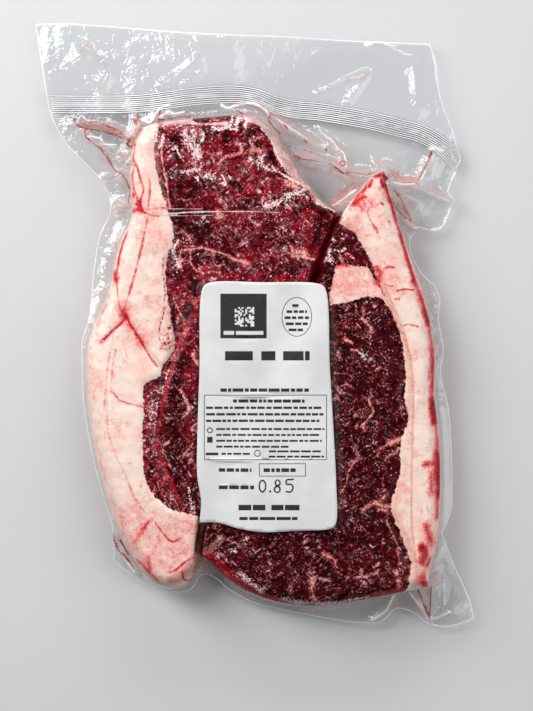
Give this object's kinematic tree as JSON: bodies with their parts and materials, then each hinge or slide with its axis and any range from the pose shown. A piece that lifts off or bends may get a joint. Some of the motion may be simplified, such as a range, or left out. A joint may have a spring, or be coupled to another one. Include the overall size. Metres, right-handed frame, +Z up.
{
  "type": "vacuum-packed strip steaks",
  "caption": "Raw strip steaks lying head to tail in a clear vacuum pouch, with a wide flap beyond the ribbed heat seal and a paper label stuck across them.",
  "frame": {"origin": "centre of the bounding box in plan, on the plane the pack rests on", "axes": "+X across the pack, +Y along it towards the open end of the pouch, +Z up out of the label"},
  "size_m": [0.214, 0.294, 0.0285],
  "materials": {
    "beef_lean": "dark crimson lean meat with fine pale marbling, seen through tight glossy film",
    "beef_fat": "cream to pink fat with thin red streaks",
    "pouch_film": "clear glossy film",
    "label_paper": "matt white paper",
    "label_ink": "matt black print"
  },
  "bodies": {
    "root": {"vacuum_pack": "beef_lean", "label": "label_paper"}
  },
  "joints": []
}
